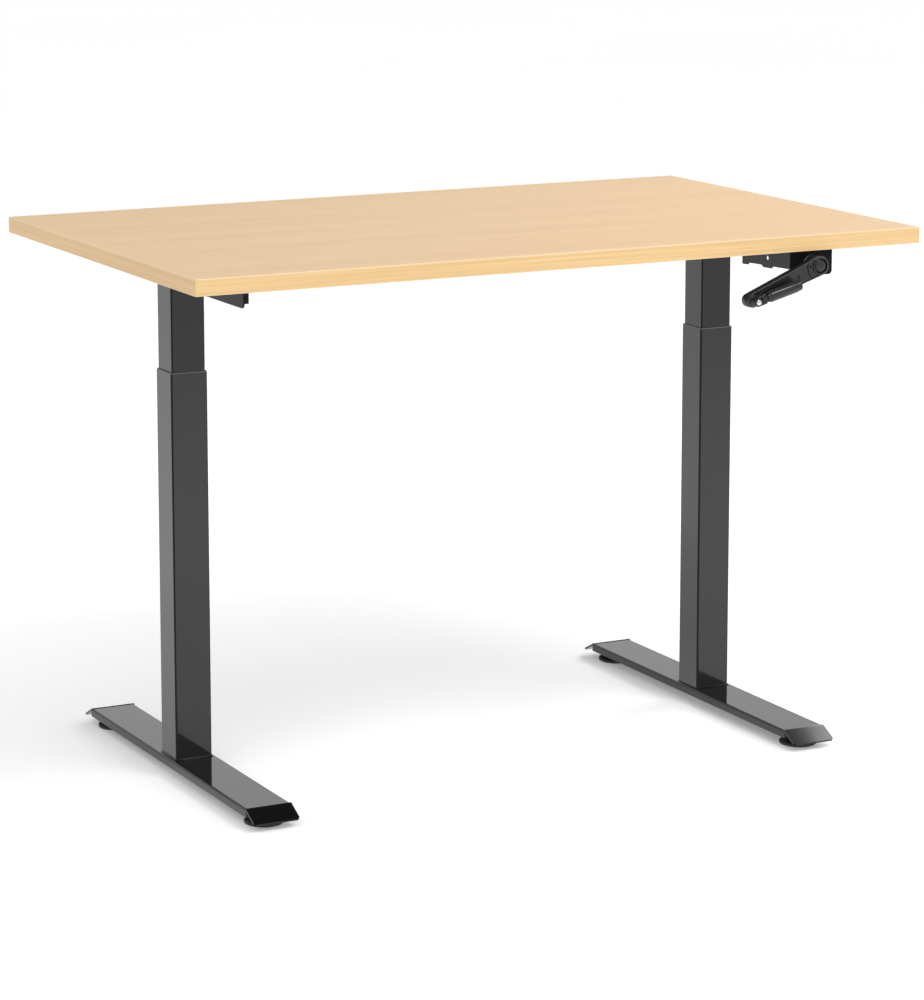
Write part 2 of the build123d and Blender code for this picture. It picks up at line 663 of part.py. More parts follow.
def crank_arm():
    """Moulded arm with its hub, a shallow trough for the folded grip and a sleeve behind."""
    hub = (CRANK_X, SHAFT_Z)
    arm = tapered_bar(hub, ARM_HUB_RADIUS, ARM_END, ARM_END_RADIUS, ARM_BACK_Y, ARM_FRONT_Y)
    arm = fillet(arm.edges().filter_by(GeomType.CIRCLE).group_by(Axis.Y)[0], 1.2)
    arm += y_disc(hub, ARM_HUB_RADIUS - 0.5, PLATE_Y - 3.5, ARM_BACK_Y)
    arm += y_disc(hub, SLEEVE_RADIUS, PLATE_Y + 8.0, PLATE_Y - 3.5)
    trough = tapered_bar(along_arm(48), 9.5, along_arm(108), 7.5, ARM_FRONT_Y + 3.0, ARM_FRONT_Y - 1)
    arm -= trough
    arm -= y_disc(hub, 11.0, ARM_FRONT_Y + 3.0, ARM_FRONT_Y - 1)
    arm -= y_disc(hub, 5.0, ARM_FRONT_Y + 6.0, ARM_FRONT_Y)
    arm -= y_disc(hub, 2.5, ARM_FRONT_Y + 8.0, ARM_FRONT_Y)
    arm -= hex_rod((CRANK_X, PLATE_Y + 9, SHAFT_Z), (CRANK_X, ARM_FRONT_Y + 8.0, SHAFT_Z), HEX_FLATS)
    return arm - y_disc(ARM_END, 3.0 + RUNNING_GAP, ARM_BACK_Y + 1, ARM_FRONT_Y - 1)


def hub_screw():
    """Screw that holds the arm on its shaft, under the cap."""
    centre = (CRANK_X, SHAFT_Z)
    head = y_disc(centre, 5.0, ARM_FRONT_Y + 6.0, ARM_FRONT_Y + 3.0)
    return head + y_disc(centre, 2.5, ARM_FRONT_Y + 8.0, ARM_FRONT_Y + 6.0)


def hub_cap():
    """Round cap pressed into the hub."""
    cap = y_disc((CRANK_X, SHAFT_Z), 11.0, ARM_FRONT_Y + 3.0, ARM_FRONT_Y - 1.8)
    return fillet(cap.edges().group_by(Axis.Y)[0], 1.6)


def grip_point(along, across=0.0):
    """(x, z) beside the swivel's axis, measured along the folded grip and across it."""
    u, w = GRIP_DIRECTION
    return (ARM_END[0] + along * u - across * w, ARM_END[1] + along * w + across * u)


def grip_plane(along, across=0.0):
    """A plane across the folded grip, facing the hub, with its X axis across the arm."""
    x, z = grip_point(along, across)
    u, w = GRIP_DIRECTION
    return Plane(origin=(x, GRIP_Y, z), x_dir=(-w, 0, u), z_dir=(u, 0, w))


def swivel_base():
    """Turntable on the arm's end, with the two ears that the grip folds between."""
    base = y_disc(ARM_END, 10.0, ARM_FRONT_Y - 0.3, ARM_FRONT_Y - 4.0)
    post = y_disc(ARM_END, 9.0, ARM_FRONT_Y - 4.0, POST_FRONT_Y)
    post -= grip_plane(FOLD_OFFSET - EYE_RADIUS - 2.1) * Pos(0, 0, 5) * Box(40, 60, 10)
    ears = []
    for side in (-1, 1):
        ear = Pos(side * 6.0, 0, FOLD_OFFSET / 2 + 1.0) * Box(3.4, 2 * EYE_RADIUS, FOLD_OFFSET - 2.0)
        tip = Plane(origin=(side * 7.7, 0, FOLD_OFFSET), z_dir=(-side, 0, 0))
        tip *= Cylinder(EYE_RADIUS, 3.4, align=FROM_BASE)
        ears.append(grip_plane(0) * (ear + tip))
    whole = base + post + ears
    u = Vector(1, 0, 0)
    pin = Plane(origin=u * -12, z_dir=u) * Cylinder(2.0, 24.0, align=FROM_BASE)
    whole -= grip_plane(FOLD_OFFSET) * pin
    return whole - y_disc(ARM_END, 3.0, ARM_FRONT_Y, POST_FRONT_Y)


def swivel_rivet():
    """Rivet through the arm's end that the turntable turns with."""
    rivet = y_disc(ARM_END, 3.0, ARM_BACK_Y + 0.3, POST_FRONT_Y)
    head = y_disc(ARM_END, 5.0, POST_FRONT_Y, RIVET_FRONT_Y)
    rivet += fillet(head.edges().group_by(Axis.Y)[0], 1.2)
    return rivet + y_disc(ARM_END, 5.0, ARM_BACK_Y + 1.8, ARM_BACK_Y + 0.3)


def fold_pin():
    """Pin through the ears that the grip folds on."""
    u = Vector(1, 0, 0)
    pin = Plane(origin=u * -7.7, z_dir=u) * Cylinder(2.0, 15.4, align=FROM_BASE)
    return grip_plane(FOLD_OFFSET) * pin


def grip():
    """Turned grip: an eye for the fold pin, a conical shoulder and a barrel."""
    start = FOLD_OFFSET + EYE_RADIUS + 0.6
    length = GRIP_END - start
    outline = Polyline(
        (0, 0), (4.6, 0), (8.2, 6.0), (GRIP_RADIUS, 12.0), (GRIP_RADIUS, length - 9.0),
        (GRIP_RADIUS - 0.9, length - 8.0), (GRIP_RADIUS - 0.9, length - 2.0),
        (GRIP_RADIUS - 2.9, length), (0, length), close=True,
    )
    barrel = grip_plane(start) * revolve(Plane.XZ * make_face(outline), Axis.Z)
    tongue = Pos(0, 0, (start - FOLD_OFFSET) / 2 + 1.0) * Box(8.0, 9.2, start - FOLD_OFFSET + 2.0)
    u = Vector(1, 0, 0)
    eye = Plane(origin=u * -4.0, z_dir=u) * Cylinder(EYE_RADIUS, 8.0, align=FROM_BASE)
    hole = Plane(origin=u * -5.0, z_dir=u) * Cylinder(2.0 + RUNNING_GAP, 10.0, align=FROM_BASE)
    return barrel + grip_plane(FOLD_OFFSET) * (tongue + eye) - grip_plane(FOLD_OFFSET) * hole


# Assembly --------------------------------------------------------------------------------


def wood_screws():
    """All the screws into the underside of the desktop."""
    return [screw(p, (p[0], p[1], UNDER_Z + 16.0), 2.2, 4.2, 2.6) for p in wood_screw_places()]


def at_leg(side, shape):
    """Moves a piece made on the Z axis to a leg's axis."""
    return Pos(side * LEG_X, LEG_Y, 0) * shape


def at_both_legs(shape):
    """Two copies of a piece, one at each leg."""
    return [at_leg(side, shape) for side in SIDES.values()]


def save_desktop():
    save("desktop", desktop())
    save("edge_bands", *[band(side) for band in (long_band, short_band) for side in (-1, 1)])
    save("desktop_screws", *wood_screws())


def save_base():
    for name, side in SIDES.items():
        save(f"{name}_foot", Pos(side * LEG_X, 0, 0) * foot())
        save(f"{name}_outer_column", at_leg(side, outer_column()))
    save("column_base_plates", *at_both_legs(base_plate()))
    save("foot_bolts", *[b for bolt in foot_bolts() for b in at_both_legs(bolt)])
    save("guide_bushes", *at_both_legs(guide_bush()))
    save("nut_posts", *at_both_legs(nut_post()))
    save("lead_nuts", *at_both_legs(lead_nut()))
    nuts = []
    for name, side in SIDES.items():
        for end_name, end in ENDS.items():
            place = Pos(side * LEG_X, LEG_Y + end * PAD_Y, 0)
            nuts.append(place * weld_nut())
            save(f"leveller_stud_{end_name}_{name}", place * leveller_stud())
            save(f"leveller_pad_{end_name}_{name}", place * leveller_pad())
    save("leveller_nuts", *nuts)


def save_frame():
    for name, side in SIDES.items():
        save(f"{name}_inner_column", at_leg(side, inner_column()))
        save(f"{name}_head_plate", head_plate(side))
        save(f"{name}_side_bracket", side_bracket(side))
        save(f"{name}_gear_housing", gear_housing(side))
        save(f"{name}_gear_cover", gear_cover(side))
        for end_name, end in ENDS.items():
            save(f"{end_name}_rail_{name}_end", rail_end(side, end))
    for end_name, end in ENDS.items():
        save(f"{end_name}_rail_centre", rail_centre(end))
    save("guide_shoes", *at_both_legs(guide_shoe()))
    save("rail_screws", *rail_screws())
    save("gearbox_bolts", *gearbox_bolts(-1), *gearbox_bolts(1))
    save("thrust_bearings", *at_both_legs(thrust_bearing()))
    save("crank_gearbox", crank_gearbox())
    save("crank_gearbox_cover", crank_gearbox_cover())
    bushes = shaft_bushes(CRANK_X, CRANK_CAVITY_X, CRANK_BOX_X) + [crank_shaft_bush()]
    for side in SIDES.values():
        bushes += shaft_bushes(side * LEG_X, HOUSING_CAVITY, HOUSING_HALF)
    save("shaft_bushes", *bushes)
    save("crank_bracket", crank_bracket())
    save("crank_bush", crank_bush())


def save_drive():
    save("cross_shaft", cross_shaft())
    gears = [shaft_gear(side * LEG_X, HOUSING_HALF - 0.5) for side in SIDES.values()]
    save("cross_shaft_gears", *gears, shaft_gear(CRANK_X, CRANK_BOX_X - 0.5))
    for name, side in SIDES.items():
        save(f"{name}_lead_screw", at_leg(side, lead_screw()))
        save(f"{name}_screw_gear", screw_gear(side))


def save_crank():
    save("crank_shaft", crank_shaft())
    save("crank_gear", crank_gear())
    save("crank_arm", crank_arm())
    save("hub_screw", hub_screw())
    save("hub_cap", hub_cap())
    save("swivel_base", swivel_base())
    save("swivel_pins", swivel_rivet(), fold_pin())
    save("grip", grip())


os.makedirs("parts", exist_ok=True)
save_desktop()
save_base()
save_frame()
save_drive()
save_crank()
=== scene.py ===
"""Visual model of the crank-operated standing desk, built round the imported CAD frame.

Units are metres in the desk's own frame: +X to the user's right, +Y to the back, +Z up.
"""
import json
import math

import bmesh
import bpy
from mathutils import Matrix, Vector

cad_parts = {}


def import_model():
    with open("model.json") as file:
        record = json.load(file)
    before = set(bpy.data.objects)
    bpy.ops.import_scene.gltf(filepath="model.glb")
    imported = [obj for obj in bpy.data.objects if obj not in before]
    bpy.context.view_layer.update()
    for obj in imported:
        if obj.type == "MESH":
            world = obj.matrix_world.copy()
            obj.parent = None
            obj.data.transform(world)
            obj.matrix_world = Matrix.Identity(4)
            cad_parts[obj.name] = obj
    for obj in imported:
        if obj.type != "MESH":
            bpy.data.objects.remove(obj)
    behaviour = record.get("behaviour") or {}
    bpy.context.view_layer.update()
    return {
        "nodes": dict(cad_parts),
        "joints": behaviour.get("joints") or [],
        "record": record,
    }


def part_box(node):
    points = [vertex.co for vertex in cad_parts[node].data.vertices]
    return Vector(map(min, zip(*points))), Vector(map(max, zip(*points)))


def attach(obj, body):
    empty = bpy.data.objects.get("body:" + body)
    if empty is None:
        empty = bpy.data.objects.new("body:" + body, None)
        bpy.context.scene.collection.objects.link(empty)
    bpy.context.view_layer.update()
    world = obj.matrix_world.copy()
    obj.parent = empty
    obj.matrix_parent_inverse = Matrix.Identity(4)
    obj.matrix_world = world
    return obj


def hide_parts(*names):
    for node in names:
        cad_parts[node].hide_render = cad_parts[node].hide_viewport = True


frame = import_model()
JOINTS = {joint["name"]: joint for joint in frame["joints"]}
NODES = frame["nodes"]
MM = 0.001

# Camera, with its angles in degrees and its lens in millimetres
CAMERA_PLACE = (-2.5124, -4.8938, 1.5671)
CAMERA_DOWN = 9.613
CAMERA_TURN = 27.126
CAMERA_LENS = 127.28
CAMERA_SHIFT = -0.15

# Light and floor, with angles in degrees
WORLD_BRIGHT = 1.06
WORLD_ZENITH = 0.06
WORLD_EDGE = (0.785, 0.825)
KEY_STRENGTH = 1.25
KEY_SOFTNESS = 70.0
KEY_COLOUR = (1.0, 0.995, 0.985)
KEY_TILT = (36, -10, 0)
SIDE_SOFTBOX = {
    "place": (3.05, 0.60, 2.82), "target": (3.05, 0.60, 0.0), "size": (1.52, 1.6), "brightness": 6.0,
}
FRONT_SOFTBOX = {
    "place": (0.95, -1.75, 3.15), "target": (0.35, -0.39, 0.75), "size": (1.3, 0.60), "brightness": 12.0,
}
FLOOR_SIZE = 80.0
FLOOR_GLOW = 0.19

# Edges that the paints follow, read from the CAD boxes
TOP_LOW, TOP_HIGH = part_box("desktop")
BAND_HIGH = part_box("edge_bands")[1]
FOOT_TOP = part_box("left_foot")[1].z
CRANK_BRACKET_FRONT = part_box("crank_bracket")[0].y

# Crank, placed by its joints and its arm's CAD box
TOWARD_USER = Vector((0, -1, 0))
HUB = Vector(JOINTS["crank_turn"]["pos_m"])
ARM_END = Vector(JOINTS["grip_swivel"]["pos_m"])
FOLD_PIN = Vector(JOINTS["grip_fold"]["pos_m"])
FOLD_AXIS = Vector(JOINTS["grip_fold"]["axis"]).normalized()
ARM_LINE = Vector((ARM_END.x - HUB.x, 0, ARM_END.z - HUB.z)).normalized()
ARM_ACROSS = Vector((-ARM_LINE.z, 0, ARM_LINE.x))
ARM_THICK = 0.0145
ARM_FRONT, SLEEVE_BACK = (corner.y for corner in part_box("crank_arm"))
ARM_BACK = ARM_FRONT + ARM_THICK
HUB_RADIUS = 0.015
END_RADIUS = 0.0105
SLEEVE_RADIUS = 0.009
SLEEVE_BORE = 0.0047
COLLAR_RADIUS = 0.0145
COLLAR_LENGTH = 0.0100
COLLAR_SUNK = 0.0005
WELL_RADIUS = 0.0113
WELL_DEPTH = 0.0055
RIVET_HOLE_RADIUS = 0.00305
TROUGH_START, TROUGH_START_RADIUS = 0.048, 0.0088
TROUGH_END, TROUGH_END_RADIUS = 0.108, 0.0070
SLIT_RADIUS = 0.0230
SLIT_WIDTH = 0.0016
SLIT_DEPTH = 0.0036
SLIT_SPREAD = math.radians(34)
POCKET_SIZE = (0.0034, 0.008, 0.0026)
POCKET_ALONG, POCKET_ACROSS = 0.0172, -0.0062
CUTTER_SPARE = 0.008

# Swivel, pins and grip
EAR_OFFSET = 0.0060
EAR_RADIUS = 0.0050
EAR_THICK = 0.0034
EAR_REACH = 0.0120
EAR_BEVEL = 0.0005
PIN_RADIUS = 0.0020
PIN_LENGTH = 0.0154
KNUCKLE_RADIUS = 0.0050
KNUCKLE_WIDTH = 0.0080
TONGUE_HEIGHT = 0.0092
TONGUE_WIDTH = 0.0078
TONGUE_SUNK = 0.002
GRIP_RADIUS = 0.009
GRIP_LENGTH = 0.0629
GRIP_START = 0.0056
CHAMFER = 0.0004

SEAM = 0.0009
SHARP_ANGLE = 35.0


# Mesh helpers ----------------------------------------------------------------------------


def smooth(mesh, sharp=SHARP_ANGLE):
    """Shades a mesh smooth except at edges sharper than this angle in degrees."""
    mesh.polygons.foreach_set("use_smooth", [True] * len(mesh.polygons))
    mesh.set_sharp_from_angle(angle=math.radians(sharp))


def finish_mesh(name, bm, sharp=SHARP_ANGLE):
    """Turns a bmesh into an object in the scene, smooth except at its sharp edges."""
    bmesh.ops.recalc_face_normals(bm, faces=bm.faces)
    mesh = bpy.data.meshes.new(name)
    bm.to_mesh(mesh)
    bm.free()
    smooth(mesh, sharp)
    obj = bpy.data.objects.new(name, mesh)
    bpy.context.scene.collection.objects.link(obj)
    return obj


def bridge(bm, rings):
    """Joins rings of equally many points into a skin, and closes its two ends."""
    loops = [[bm.verts.new(point) for point in ring] for ring in rings]
    for a, b in zip(loops, loops[1:]):
        for i in range(len(a)):
            j = (i + 1) % len(a)
            bm.faces.new((a[i], a[j], b[j], b[i]))
    bm.faces.new(loops[0][::-1])
    bm.faces.new(loops[-1])


def lathe(bm, origin, axis, profile, steps=64):
    """Turns a profile of (distance along the axis, radius) about the axis."""
    side = axis.orthogonal().normalized()
    other = axis.cross(side)
    turns = [2 * math.pi * i / steps for i in range(steps)]
    rings = []
    for along, radius in profile:
        centre = origin + axis * along
        rings.append([centre + (side * math.cos(t) + other * math.sin(t)) * radius for t in turns])
    bridge(bm, rings)


def lathe_ring(bm, origin, profile, steps=72):
    """Turns a closed profile of (radius, distance toward the user) about an axis along Y."""
    loops = []
    for i in range(steps):
        turn = 2 * math.pi * i / steps
        out = Vector((math.cos(turn), 0, math.sin(turn)))
        points = [origin + out * radius + TOWARD_USER * forward for radius, forward in profile]
        loops.append([bm.verts.new(point) for point in points])
    for i in range(steps):
        a, b = loops[i], loops[(i + 1) % steps]
        for j in range(len(profile)):
            k = (j + 1) % len(profile)
            bm.faces.new((a[j], a[k], b[k], b[j]))


def bar(bm, middle, axis, length, radius, steps, bevel=CHAMFER):
    """A round bar whose end edges are taken off over the length bevel."""
    lathe(bm, middle - axis * (length / 2), axis, [
        (0, radius - CHAMFER), (bevel, radius), (length - bevel, radius), (length, radius - CHAMFER),
    ], steps)


def rounded_box(bm, size, matrix, edge, steps=3):
    """A block with rounded edges, placed by a matrix."""
    made = bmesh.ops.create_cube(bm, size=1.0, matrix=matrix @ Matrix.Diagonal((*size, 1.0)))
    edges = list({e for v in made["verts"] for e in v.link_edges})
    bmesh.ops.bevel(bm, geom=edges, offset=edge, segments=steps, affect="EDGES", profile=0.5)


def capsule(start, end, start_radius, end_radius, y, steps=32):
    """Outline round two circles of different sizes in an XZ plane at depth y."""
    along = Vector((end.x - start.x, end.z - start.z))
    rise = math.asin((start_radius - end_radius) / along.length)
    heading = math.atan2(along.y, along.x)
    points = []
    for centre, radius, first, last in (
        (start, start_radius, math.pi / 2 - rise, 3 * math.pi / 2 + rise),
        (end, end_radius, -math.pi / 2 + rise, math.pi / 2 - rise),
    ):
        for i in range(steps + 1):
            turn = heading + first + (last - first) * i / steps
            x, z = centre.x + radius * math.cos(turn), centre.z + radius * math.sin(turn)
            points.append(Vector((x, y, z)))
    return points


def cut(obj, *cutters):
    """Cuts closed shapes out of a piece and deletes the cutters."""
    for cutter in cutters:
        change = obj.modifiers.new("cut", "BOOLEAN")
        change.object = cutter
        change.solver = "EXACT"
    bpy.context.view_layer.update()
    graph = bpy.context.evaluated_depsgraph_get()
    mesh = bpy.data.meshes.new_from_object(obj.evaluated_get(graph))
    obj.modifiers.clear()
    obj.data = mesh
    for cutter in cutters:
        bpy.data.objects.remove(cutter)
    smooth(mesh)


# Materials -------------------------------------------------------------------------------

LAMINATE_DARK = (0.645, 0.430, 0.220)
LAMINATE_PALE = (0.688, 0.466, 0.252)
LAMINATE_STREAK = (0.748, 0.539, 0.312)
LAMINATE_PORE = (0.524, 0.326, 0.151)
# Near-black colours painted on the desktop's underside as painted shade
UNDERSIDE_SHADE_DARK = (0.030, 0.030, 0.031)
UNDERSIDE_SHADE_PALE = (0.042, 0.042, 0.043)
BAND_DARK = (0.620, 0.405, 0.180)
BAND_PALE = (0.730, 0.505, 0.250)
BAND_CUT = (0.761, 0.611, 0.393)
BAND_THICK = 0.0013
BRACKET_COLOUR = (0.0065, 0.0065, 0.0072)
FLOOR_DARK = (0.90, 0.90, 0.90)
FLOOR_PALE = (0.93, 0.93, 0.93)
WHITE = (1.0, 1.0, 1.0, 1.0)
SPECULAR = 0.5
COAT = 0.25


def set_range(node, low, high, to_low, to_high):
    """Fills in a Map Range node's two ranges."""
    numbers = {"From Min": low, "From Max": high, "To Min": to_low, "To Max": to_high}
    for name, number in numbers.items():
        node.inputs[name].default_value = number


class Shader:
    """A Principled material, with short calls for the nodes that this scene uses."""

    def __init__(self, name, metallic=0.0, ior=1.5, coat=0.0, coat_roughness=0.1):
        self.material = bpy.data.materials.new(name)
        self.material.use_nodes = True
        self.tree = self.material.node_tree
        self.tree.nodes.clear()
        output = self.tree.nodes.new("ShaderNodeOutputMaterial")
        self.surface = self.tree.nodes.new("ShaderNodeBsdfPrincipled")
        self.tree.links.new(self.surface.outputs["BSDF"], output.inputs["Surface"])
        self.surface.inputs["Metallic"].default_value = metallic
        self.surface.inputs["IOR"].default_value = ior
        self.surface.inputs["Coat Weight"].default_value = coat
        self.surface.inputs["Coat Roughness"].default_value = coat_roughness
        self.place = self.tree.nodes.new("ShaderNodeTexCoord").outputs["Object"]

    def link(self, source, target):
        """Sets a socket from another socket, a number or a colour."""
        if isinstance(source, bpy.types.NodeSocket):
            self.tree.links.new(source, target)
        else:
            target.default_value = source

    def scaled(self, scale):
        """The place on the object, stretched by a factor on each axis."""
        node = self.tree.nodes.new("ShaderNodeMapping")
        self.link(self.place, node.inputs["Vector"])
        node.inputs["Scale"].default_value = scale
        return node.outputs["Vector"]

    def noise(self, scale, detail=3.0, rough=0.5, distort=0.0):
        """Noise whose scale is one number, or one for each axis."""
        node = self.tree.nodes.new("ShaderNodeTexNoise")
        even = isinstance(scale, (int, float))
        self.link(self.place if even else self.scaled(scale), node.inputs["Vector"])
        node.inputs["Scale"].default_value = scale if even else 1.0
        node.inputs["Detail"].default_value = detail
        node.inputs["Roughness"].default_value = rough
        node.inputs["Distortion"].default_value = distort
        return node.outputs["Fac"]

    def math(self, kind, a, b=0.0, clamp=False):
        """One Math node on two sockets or numbers."""
        node = self.tree.nodes.new("ShaderNodeMath")
        node.operation = kind
        node.use_clamp = clamp
        self.link(a, node.inputs[0])
        self.link(b, node.inputs[1])
        return node.outputs[0]

    def times(self, a, b):
        """The product of two sockets or numbers."""
        return self.math("MULTIPLY", a, b)

    def spread(self, value, low, high, to_low=0.0, to_high=1.0):
        """Maps a value's range low to high onto another range, with no overshoot."""
        node = self.tree.nodes.new("ShaderNodeMapRange")
        self.link(value, node.inputs["Value"])
        set_range(node, low, high, to_low, to_high)
        return node.outputs["Result"]

    def mix(self, share, a, b):
        """A colour between a and b."""
        node = self.tree.nodes.new("ShaderNodeMix")
        node.data_type = "RGBA"
        self.link(share, node.inputs[0])
        for colour, target in ((a, node.inputs[6]), (b, node.inputs[7])):
            self.link(colour if isinstance(colour, bpy.types.NodeSocket) else (*colour, 1.0), target)
        return node.outputs[2]

    def choose(self, share, a, b):
        """A number between a and b."""
        node = self.tree.nodes.new("ShaderNodeMix")
        node.data_type = "FLOAT"
        self.link(share, node.inputs[0])
        self.link(a, node.inputs[2])
        self.link(b, node.inputs[3])
        return node.outputs[0]

    def axis(self, letter):
        """One coordinate of the place on the object."""
        node = self.tree.nodes.new("ShaderNodeSeparateXYZ")
        self.link(self.place, node.inputs[0])
        return node.outputs[letter]

    def facing(self, letter):
        """How far the surface faces along one axis, either way."""
        node = self.tree.nodes.new("ShaderNodeSeparateXYZ")
        self.link(self.tree.nodes.new("ShaderNodeNewGeometry").outputs["Normal"], node.inputs[0])
        return self.math("ABSOLUTE", node.outputs[letter])

    def paint(self, colour, roughness, height=None, depth=0.0):
        """Sets the colour, the roughness and a bump of this depth in metres."""
        self.link(colour, self.surface.inputs["Base Color"])
        self.link(roughness, self.surface.inputs["Roughness"])
        if height is not None:
            bump = self.tree.nodes.new("ShaderNodeBump")
            bump.inputs["Strength"].default_value = 1.0
            bump.inputs["Distance"].default_value = depth
            self.link(height, bump.inputs["Height"])
            self.link(bump.outputs["Normal"], self.surface.inputs["Normal"])
        return self.material


def laminate():
    """Pale wood laminate: fine streaks along X over broader bands, with the underside painted near black
    as painted shade.
    """
    s = Shader("desktop_laminate", ior=1.42)
    streaks = s.noise((3.0, 420.0, 420.0), detail=5.0, rough=0.65)
    bands = s.noise((0.55, 22.0, 22.0), detail=3.0, rough=0.5, distort=0.6)
    pores = s.spread(s.noise((22.0, 900.0, 900.0), detail=2.0), 0.30, 0.42)
    colour = s.mix(s.spread(bands, 0.32, 0.68), LAMINATE_DARK, LAMINATE_PALE)
    colour = s.mix(s.spread(streaks, 0.30, 0.75, 0.0, 0.55), colour, LAMINATE_STREAK)
    colour = s.mix(s.times(s.math("SUBTRACT", 1.0, pores), 0.35), colour, LAMINATE_PORE)
    # Painted shade: the underside is coloured near black to stand for the shade under the desktop.
    on_shaded_underside = s.spread(s.axis("Z"), TOP_LOW.z + 0.0003, TOP_LOW.z + 0.0006, 1.0, 0.0)
    painted_underside_shade = s.mix(s.spread(s.noise(60.0), 0.35, 0.65), UNDERSIDE_SHADE_DARK, UNDERSIDE_SHADE_PALE)
    colour = s.mix(on_shaded_underside, colour, painted_underside_shade)
    roughness = s.spread(streaks, 0.2, 0.8, 0.40, 0.50)
    return s.paint(colour, roughness, s.times(streaks, pores), 0.00004)


def band():
    """Edge band: yellower wood grain that runs along each edge, with pale cut lines."""
    s = Shader("edge_band")
    on_side = s.math("GREATER_THAN", s.math("ABSOLUTE", s.axis("X")), BAND_HIGH.x - BAND_THICK)
    along_x = s.noise((3.2, 1.0, 330.0), detail=4.0, rough=0.6, distort=0.35)
    along_y = s.noise((1.0, 3.2, 330.0), detail=4.0, rough=0.6, distort=0.35)
    grain = s.choose(on_side, along_x, along_y)
    low = s.spread(s.axis("Z"), TOP_LOW.z, TOP_LOW.z + 0.0016, 1.0, 0.0)
    high = s.spread(s.axis("Z"), TOP_HIGH.z - 0.0022, TOP_HIGH.z - 0.0008, 0.0, 1.0)
    on_cut = s.times(s.math("ADD", low, high, clamp=True), 0.75)
    colour = s.mix(on_cut, s.mix(s.spread(grain, 0.28, 0.72), BAND_DARK, BAND_PALE), BAND_CUT)
    return s.paint(colour, s.spread(grain, 0.3, 0.7, 0.42, 0.34), grain, 0.00005)


def powder_coat(name, colour, roughness, ior=1.50, painted_shade_below=None):
    """Gloss black paint with a faint orange peel.

    Its upright corners reflect less and its level tops more: painted shade in the corners and a painted
    reflection on the tops. Below a given height it reflects less still, as painted shade on the feet's
    sides.
    """
    s = Shader(name, ior=ior, coat=COAT, coat_roughness=0.06)
    # Painted shade and painted reflection: the upright corners reflect less so they read dark, the level
    # tops more so they read light.
    corner = s.spread(s.math("MINIMUM", s.facing("X"), s.facing("Y")), 0.12, 0.40, 1.0, 0.25)
    top = s.spread(s.facing("Z"), 0.90, 0.98, 1.0, 1.45)
    shine = s.times(corner, top)
    # Painted shade: below this height the paint reflects less, so the feet's sides read darker.
    if painted_shade_below is not None:
        low = s.spread(s.axis("Z"), painted_shade_below - 0.0012, painted_shade_below - 0.0004, 0.55, 1.0)
        shine = s.times(shine, low)
    s.link(s.times(shine, SPECULAR), s.surface.inputs["Specular IOR Level"])
    s.link(s.times(shine, COAT), s.surface.inputs["Coat Weight"])
    patches = s.noise(7.0, detail=4.0)
    peel = s.noise(420.0, detail=2.0)
    dust = s.spread(s.noise(1500.0, detail=1.0), 0.70, 0.78)
    brighter = tuple(c * 1.6 + 0.0015 for c in colour)
    lighter = s.math("ADD", s.spread(patches, 0.3, 0.7, 0.0, 0.5), s.times(dust, 0.3))
    worn = s.spread(patches, 0.3, 0.7, roughness * 0.8, roughness * 1.3)
    rough = s.math("ADD", worn, s.times(dust, 0.15))
    return s.paint(s.mix(lighter, colour, brighter), rough, peel, 0.000012)


def satin_black(name, colour, ior=1.36, painted_shade_front=None):
    """Duller black paint on the brackets; its face at a given depth reflects almost nothing, as painted
    shade.
    """
    s = Shader(name, ior=ior)
    if painted_shade_front is not None:
        # Painted shade: the front face hardly reflects, so it reads black as if in the shade under the
        # desktop.
        shine = s.spread(s.axis("Y"), painted_shade_front + 0.0003, painted_shade_front + 0.0012, 0.08, SPECULAR)
        s.link(shine, s.surface.inputs["Specular IOR Level"])
    patches = s.noise(16.0, detail=4.0)
    peel = s.noise(520.0, detail=2.0)
    shade = s.mix(s.spread(patches, 0.3, 0.7), colour, tuple(c * 1.7 for c in colour))
    rough = s.spread(patches, 0.3, 0.7, 0.22, 0.34)
    return s.paint(shade, rough, peel, 0.00002)


def metal(name, colour, roughness, grain=(60.0, 60.0, 60.0), depth=0.00001, wear=0.6):
    """Bare or plated metal with a brushed or cast grain and duller patches."""
    s = Shader(name, metallic=1.0)
    fine = s.noise(grain, detail=4.0, rough=0.6)
    patches = s.noise(35.0, detail=3.0)
    shade = s.mix(s.spread(patches, 0.35, 0.7), colour, tuple(c * wear for c in colour))
    brushed = s.spread(fine, 0.3, 0.7, roughness * 0.75, roughness * 1.25)
    rough = s.math("ADD", brushed, s.spread(patches, 0.3, 0.8, 0.0, 0.08))
    return s.paint(shade, rough, fine, depth)


def plastic(name, colour, roughness, grain=900.0, depth=0.00002):
    """Moulded plastic or rubber with a fine grain and lighter scuffs."""
    s = Shader(name, ior=1.47)
    fine = s.noise(grain, detail=3.0)
    patches = s.noise(28.0, detail=4.0, rough=0.6)
    scuffed = tuple(c * 1.9 + 0.004 for c in colour)
    shade = s.mix(s.spread(patches, 0.45, 0.8, 0.0, 0.6), colour, scuffed)
    grained = s.spread(fine, 0.3, 0.7, roughness * 0.85, roughness * 1.1)
    rough = s.math("ADD", grained, s.spread(patches, 0.4, 0.8, 0.0, 0.08))
    return s.paint(shade, rough, fine, depth)


